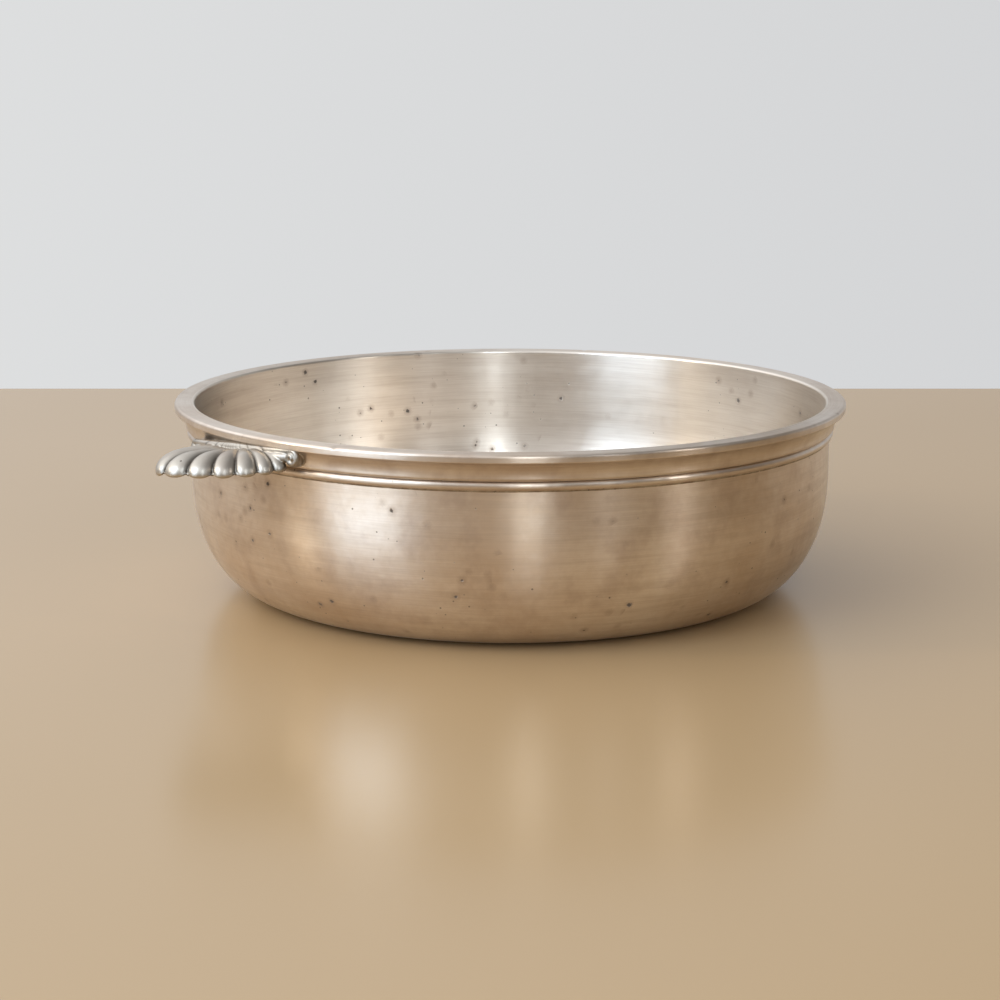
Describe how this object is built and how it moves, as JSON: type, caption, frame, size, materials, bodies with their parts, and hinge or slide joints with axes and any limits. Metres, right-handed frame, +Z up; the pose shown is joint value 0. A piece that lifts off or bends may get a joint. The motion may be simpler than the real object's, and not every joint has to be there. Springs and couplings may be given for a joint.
{
  "type": "shaving bowl",
  "caption": "Round metal shaving bowl with a heavy flat rim, hollow frieze, girdle bead and a cast scallop shell thumb handle.",
  "frame": {"origin": "centre of the flat base, on the table", "axes": "+Z up through the bowl's mouth, shell handle along -X"},
  "size_m": [0.2257, 0.203, 0.0582],
  "materials": {
    "plated_sheet": "polished, tarnished, fine turning lines",
    "plated_casting": "polished casting, darker in the flutes",
    "hard_solder": "dull grey"
  },
  "bodies": {
    "root": {"bowl_body": "plated_sheet", "rim_collar": "plated_sheet", "bead_wire": "plated_sheet", "shell_handle": "plated_casting", "rim_solder": "hard_solder", "bead_solder": "hard_solder", "handle_solder": "hard_solder"}
  },
  "joints": []
}
